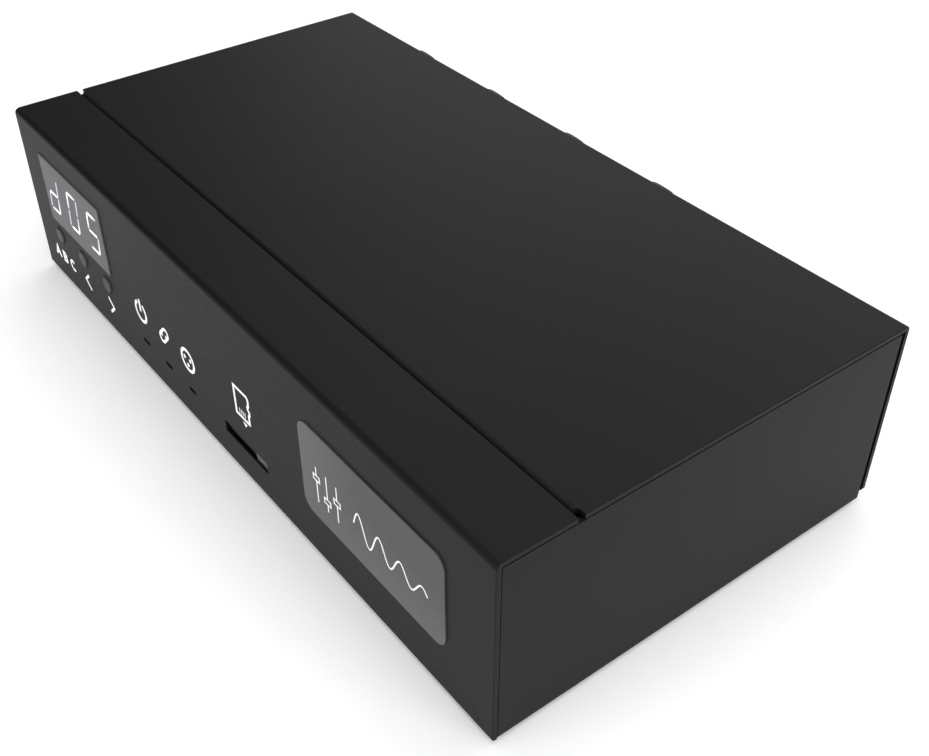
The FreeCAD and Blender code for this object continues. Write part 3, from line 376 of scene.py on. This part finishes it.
def ribbon(points, width, closed=False):
    """The two sides of a line of one width with mitred corners."""
    count = len(points)
    left, right = [], []
    for number, point in enumerate(points):
        here = Vector(point)
        before = Vector(points[number - 1]) if number or closed else None
        after = Vector(points[(number + 1) % count]) if number + 1 < count or closed else None
        ways = [(here - before).normalized()] if before is not None else []
        ways += [(after - here).normalized()] if after is not None else []
        normals = [Vector((-way.y, way.x)) for way in ways]
        middle = sum(normals, Vector((0, 0))).normalized()
        reach = width / 2 / max(MITRE_LIMIT, middle.dot(normals[0]))
        left.append(here + middle * reach)
        right.append(here - middle * reach)
    return left, right


class Print:
    """Flat shapes, thin as ink, on one face of the object. out is the way along Y that the face looks."""

    def __init__(self, name, middle, face, out=-1):
        self.name, self.middle, self.face, self.out = name, middle, face, out
        self.mesh = bmesh.new()

    def point(self, spot, depth):
        """A drawn spot, at a depth along Y from the face, in the scene."""
        x, z = self.middle
        return Vector((x + spot[0] * MM, self.face + depth, z + spot[1] * MM))

    def solid(self, outline):
        """A closed plate from one outline."""
        near = [self.mesh.verts.new(self.point(spot, self.out * INK_PROUD)) for spot in outline]
        far = [self.mesh.verts.new(self.point(spot, -self.out * INK_SUNK)) for spot in outline]
        count = len(outline)
        self.mesh.faces.new(near)
        self.mesh.faces.new(far[::-1])
        for number in range(count):
            following = (number + 1) % count
            self.mesh.faces.new((near[number], near[following], far[following], far[number]))

    def line(self, points, width, closed=False):
        """A stroke of one width, made of short plates."""
        left, right = ribbon(points, width, closed)
        count = len(points)
        for number in range(count if closed else count - 1):
            following = (number + 1) % count
            self.solid([left[number], left[following], right[following], right[number]])

    def disc(self, x, z, radius):
        """A round plate with 20 sides."""
        self.solid(arc(x, z, radius, 0, 342, 19))

    def finish(self, material, slot="case_black"):
        """Put the shapes into the scene as one piece that rides on the case."""
        bmesh.ops.remove_doubles(self.mesh, verts=self.mesh.verts, dist=INK_MERGE)
        bmesh.ops.recalc_face_normals(self.mesh, faces=self.mesh.faces)
        data = bpy.data.meshes.new(self.name)
        self.mesh.to_mesh(data)
        self.mesh.free()
        data.materials.append(material)
        piece = bpy.data.objects.new(self.name, data)
        bpy.context.scene.collection.objects.link(piece)
        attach(piece, "case")


def ink():
    """White screen print, a little worn and uneven, with a faint painted glow that brightens it."""
    shade = Shader("white_print")
    shade.colour(shade.blend(shade.spread(shade.noise(0.6 * MM, 3.0), 0.0, 1.0), (0.88,) * 3, (0.95,) * 3))
    # Painted light: the print glows though it is no lamp.
    shade.glow(INK_GLOW)
    shade.rough(shade.spread(shade.noise(0.2 * MM), 0.5, 0.62))
    shade.bump(shade.noise(0.15 * MM), 0.002 * MM)
    return shade.material


# The signs under the buttons: how far they stand to the right of and above a button's middle.

UNDER_BUTTON = -0.3 * MM
LETTER_RISE = -6.5 * MM
ARROW_RISE = -6.25 * MM
LETTER_STROKE, LETTER_HALF = 0.78, 1.22
ARROW_STROKE, ARROW_WIDE, ARROW_TALL = 0.72, 1.2, 2.1


def print_letters(white, front):
    """ABC, drawn as strokes, under the first button."""
    stroke, half = LETTER_STROKE, LETTER_HALF
    button = middle_of("button_bank")
    sign = Print("sign_bank", (button.x + UNDER_BUTTON, button.z + LETTER_RISE), front)
    a = -4.55
    sign.line([(a - 1.35, -half - 0.3), (a, half), (a + 1.35, -half - 0.3)], stroke)
    sign.line([(a - 0.8, -0.6), (a + 0.8, -0.6)], stroke * 0.8)
    b = -1.15
    bowl_top = arc(b + 1.05, 0.6, 0.6, 90, -90, 12)
    bowl_low = arc(b + 1.15, -0.62, 0.62, 90, -90, 12)
    sign.line([(b, -half - stroke / 2), (b, half + stroke / 2)], stroke)
    sign.line([(b, half)] + bowl_top + [(b, 0.0)], stroke)
    sign.line([(b, 0.0)] + bowl_low + [(b, -half)], stroke)
    c = 4.5
    sign.line(arc(c, 0, half + 0.05, 48, 312, 28), stroke)
    sign.finish(white)


def print_arrows(white, front):
    """The signs for back and forward, under the other two buttons."""
    for name, way in (("button_previous", -1), ("button_next", 1)):
        button = middle_of(name)
        middle = (button.x + UNDER_BUTTON, button.z + ARROW_RISE)
        sign = Print("sign_" + name.split("_")[1], middle, front)
        points = [(-way * ARROW_WIDE, ARROW_TALL), (way * ARROW_WIDE, 0), (-way * ARROW_WIDE, -ARROW_TALL)]
        sign.line(points, ARROW_STROKE)
        sign.finish(white)


# The signs over the indicators, and the small shift to the right that two of them have.

LAMP_PITCH = 10.75 * MM
SIGN_RISE = 8.15 * MM
SIGN_SHIFT = 0.2 * MM
POWER_STROKE, LINK_STROKE, SOCKET_STROKE = 0.82, 0.72, 0.8


def print_power(white, front, x, z):
    """An open ring with a bar in its gap."""
    sign = Print("sign_power", (x, z), front)
    sign.line(arc(0, 0, 2.45, 118, 422, 40), POWER_STROKE)
    sign.line([(0, 0.1), (0, 3.3)], POWER_STROKE)
    sign.finish(white)


def print_link(white, front, x, z):
    """Two open links on a slant, each hooked into the other."""
    sign = Print("sign_link", (x, z), front)
    radius = 1.12
    hook = [(0.5, -radius)] + arc(1.3, 0, radius, -90, 90, 16) + [(-0.45, radius), (-0.95, 0.35)]
    for way in (-1, 1):
        sign.line(turned([(way * u, way * v) for u, v in hook], 45), LINK_STROKE)
    sign.finish(white)


def print_socket(white, front, x, z):
    """A round three-pole socket."""
    sign = Print("sign_socket", (x, z), front)
    sign.line(arc(0, 0, 2.62, 0, 351, 39), SOCKET_STROKE, closed=True)
    for u, v in ((-1.2, 0.45), (1.2, 0.45), (0, -1.2)):
        sign.disc(u, v, 0.5)
    sign.finish(white)


# From the middle of the reader's lid across, and from the reader's lower side up.

CARD_SHIFT, CARD_RISE = 0.85 * MM, 13.55 * MM
CARD_STROKE, CONTACT_STROKE, CONTACT_PITCH = 0.68, 0.22, 0.72


def print_card(white, front):
    """A small notched memory card with its contacts, and a mark pointing at the slot."""
    reader = middle_of("card_reader_lid")
    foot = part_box("card_reader_base")[0].z
    sign = Print("sign_card", (reader.x + CARD_SHIFT, foot + CARD_RISE), front)
    outline = [(-2.7, 3.25), (2.35, 3.25), (2.8, 2.7), (2.75, 1.2), (2.3, 0.65), (2.3, 0.15), (2.85, -0.35),
               (2.85, -1.0), (2.4, -1.6), (2.4, -3.65), (-2.7, -3.65)]
    sign.line(outline, CARD_STROKE, closed=True)
    for column in range(4):
        x = -1.3 + CONTACT_PITCH * column
        sign.line([(x, -2.95), (x, -1.7)], CONTACT_STROKE)
    sign.solid([(-0.45, -4.6), (0.4, -5.65), (1.25, -4.6)])
    sign.finish(white)


# The badge's mark: faders, their pitch, half length and knobs, and a wave of one length and height.

MARK_DROP = 2.0 * MM
FADER_KNOBS, FADER_START, FADER_PITCH, FADER_HALF = (1.6, -1.9, 0.4), -16.4, 3.3, 4.3
KNOB_WIDE, KNOB_TALL, FADER_STROKE = 1.0, 0.6, 0.3
WAVE_START, WAVE_STEP, WAVE_POINTS, WAVE_STROKE = -4.6, 0.3, 73, 0.34
WAVE_LENGTH, WAVE_HEIGHT, WAVE_FADE = 6.2, 3.4, 0.012


def print_mark(white):
    """A generic mark on the badge: three faders and a wave that fades."""
    middle = middle_of("badge_window")
    sign = Print("badge_mark", (middle.x, middle.z - MARK_DROP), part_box("badge_window")[0].y)
    corners = [(-KNOB_WIDE, KNOB_TALL), (KNOB_WIDE, KNOB_TALL), (KNOB_WIDE, -KNOB_TALL),
               (-KNOB_WIDE, -KNOB_TALL)]
    for column, knob in enumerate(FADER_KNOBS):
        x = FADER_START + FADER_PITCH * column
        sign.line([(x, -FADER_HALF), (x, knob - KNOB_TALL)], FADER_STROKE)
        sign.line([(x, knob + KNOB_TALL), (x, FADER_HALF)], FADER_STROKE)
        sign.line([(x + u, knob + v) for u, v in corners], FADER_STROKE, closed=True)
    turn = 2 * math.pi / WAVE_LENGTH
    wave = [(WAVE_START + WAVE_STEP * count,
             WAVE_HEIGHT * math.sin(WAVE_STEP * count * turn) * math.exp(-WAVE_FADE * count))
            for count in range(WAVE_POINTS)]
    sign.line(wave, WAVE_STROKE)
    sign.finish(white, slot="badge_grey")


def make_prints():
    """Everything printed on the front."""
    white = ink()
    front = CASE_LOW.y
    print_letters(white, front)
    print_arrows(white, front)
    pipe = middle_of("light_pipe")
    height = pipe.z + SIGN_RISE
    print_power(white, front, pipe.x - LAMP_PITCH, height)
    print_link(white, front, pipe.x + SIGN_SHIFT, height)
    print_socket(white, front, pipe.x + LAMP_PITCH + SIGN_SHIFT, height)
    print_card(white, front)
    print_mark(white)


# Painted shade of the cross recesses in the screw heads on the back: flat dark crosses standing on the
# heads.

RECESS_SPAN, RECESS_WIDTH = 2.6, 0.62
FIRST_TURN, NEXT_TURN = 17, 31
SOLID_MERGE = 0.001 * MM


def islands(node):
    """The lowest and highest corner of each separate solid in a node, from left to right."""
    mesh = bmesh.new()
    mesh.from_mesh(frame["nodes"][node].data)
    mesh.transform(frame["nodes"][node].matrix_world)
    bmesh.ops.remove_doubles(mesh, verts=mesh.verts, dist=SOLID_MERGE)
    left, found = set(mesh.verts), []
    while left:
        start = left.pop()
        group, edge = {start}, [start]
        while edge:
            for link in edge.pop().link_edges:
                for vert in link.verts:
                    if vert not in group:
                        group.add(vert)
                        edge.append(vert)
        left -= group
        places = [list(vert.co) for vert in group]
        found.append([Vector([pick(values) for values in zip(*places)]) for pick in (min, max)])
    mesh.free()
    return sorted(found, key=lambda box: (round(box[0].x, 4), round(box[0].z, 4)))


def paint_recess_shade():
    """A dark cross of painted shade on each head of the cover's and the sockets' screws, each turned its
    own way.
    """
    # Painted shade: a near-black plate stands in for the shaded hollow of each recess.
    dark = moulded("recess_painted_shade", (0.002,) * 3, (0.004,) * 3, 0.7)
    half, wide = RECESS_SPAN / 2, RECESS_WIDTH / 2
    cross = [(-wide, half), (wide, half), (wide, wide), (half, wide), (half, -wide), (wide, -wide),
             (wide, -half), (-wide, -half), (-wide, -wide), (-half, -wide), (-half, wide), (-wide, wide)]
    for node in ("cover_screws", "socket_screws"):
        for number, (low, high) in enumerate(islands(node), 1):
            middle = (low + high) / 2
            sign = Print(f"{node}_recess_{number}", (middle.x, middle.z), high.y, out=1)
            sign.solid(turned(cross, FIRST_TURN + NEXT_TURN * number))
            sign.finish(dark, slot="screw_black")


# Stage and light.

FLOOR_GLOW = 0.16
FLOOR_REACH = 4.0


def make_stage():
    """A plain pale floor, lit a little from below like a light table."""
    data = bpy.data.meshes.new("floor")
    corners = [(u * FLOOR_REACH, v * FLOOR_REACH, 0) for u, v in ((-1, -1), (1, -1), (1, 1), (-1, 1))]
    data.from_pydata(corners, [], [(0, 1, 2, 3)])
    floor = bpy.data.objects.new("floor", data)
    bpy.context.scene.collection.objects.link(floor)
    shade = Shader("floor_paper")
    shade.colour(shade.blend(shade.noise(0.5, 2.0), (0.88,) * 3, (0.9,) * 3))
    shade.rough(shade.spread(shade.noise(2 * MM), 0.6, 0.7))
    shade.glow(FLOOR_GLOW)
    data.materials.append(shade.material)


WORLD_STRENGTH = 0.0

# Where each soft light stands from the case's middle, its size, both in metres, and its power in watts.
LIGHTS = {
    "overhead": ((0.0, 0.0, 1.3), (1.4, 1.4), 13.6),
    "back": ((0.0, 1.2, 0.6), (1.2, 0.8), 6.0),
    "back_left": ((-0.9, 0.9, 0.6), (0.9, 0.8), 3.4),
    "front": ((0.0, -1.2, 0.6), (1.2, 0.8), 7.4),
    "right": ((1.2, 0.0, 0.6), (1.2, 0.8), 11.4),
    "left": ((-1.2, 0.0, 0.6), (1.2, 0.8), 0.35),
}


def make_light():
    """A dark world and soft rectangular lights that all look at the case's middle."""
    world = bpy.data.worlds.new("studio")
    world.use_nodes = True
    background = world.node_tree.nodes["Background"]
    background.inputs["Color"].default_value = WHITE
    background.inputs["Strength"].default_value = WORLD_STRENGTH
    scene = bpy.context.scene
    scene.world = world
    scene.view_settings.view_transform = "Standard"
    middle = (CASE_LOW + CASE_HIGH) / 2
    for name, (place, size, power) in LIGHTS.items():
        data = bpy.data.lights.new(name, "AREA")
        data.shape = "RECTANGLE"
        data.size, data.size_y = size
        data.energy = power
        light = bpy.data.objects.new(name, data)
        scene.collection.objects.link(light)
        light.location = middle + Vector(place)
        light.rotation_euler = (-Vector(place)).to_track_quat("-Z", "Y").to_euler()


make_camera()
make_light()
make_stage()
dress_frame(make_materials())
make_prints()
paint_recess_shade()
